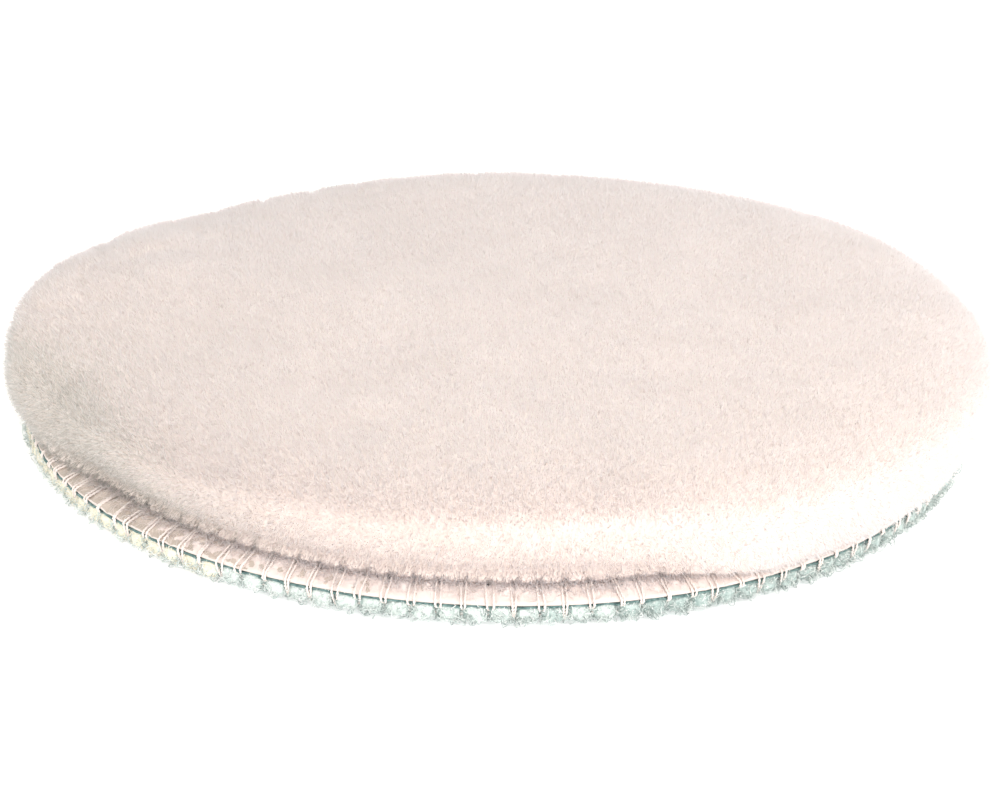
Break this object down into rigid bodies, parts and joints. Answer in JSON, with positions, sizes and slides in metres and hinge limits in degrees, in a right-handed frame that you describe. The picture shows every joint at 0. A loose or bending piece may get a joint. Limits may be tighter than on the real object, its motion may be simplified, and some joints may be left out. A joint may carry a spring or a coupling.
{
  "type": "polishing pad",
  "caption": "Round lambswool polishing pad on a hide, with an overlocked rim and a hook-and-loop backing for a polisher's backing plate.",
  "frame": {"origin": "centre of the hook-and-loop face, in the plane the pad rests on", "axes": "+Z out of the wool along the pad's axis of rotation; X and Y lie in the loop face"},
  "size_m": [0.1556, 0.1556, 0.019],
  "materials": {
    "wool": "dense cream lambswool pile, matt",
    "leather": "undyed tanned sheepskin, matt with a fine grain",
    "glue": "clear flexible laminating glue",
    "ground_cloth": "dark teal knitted ground cloth",
    "loops": "pale mint brushed loop velour",
    "yarn": "cream two-ply sewing thread, slight sheen"
  },
  "bodies": {
    "root": {"wool_pile": "wool", "hide": "leather", "bond_film": "glue", "backing_cloth": "ground_cloth", "loop_pile": "loops", "needle_thread": "yarn", "upper_looper_thread": "yarn", "lower_looper_thread": "yarn"}
  },
  "joints": []
}
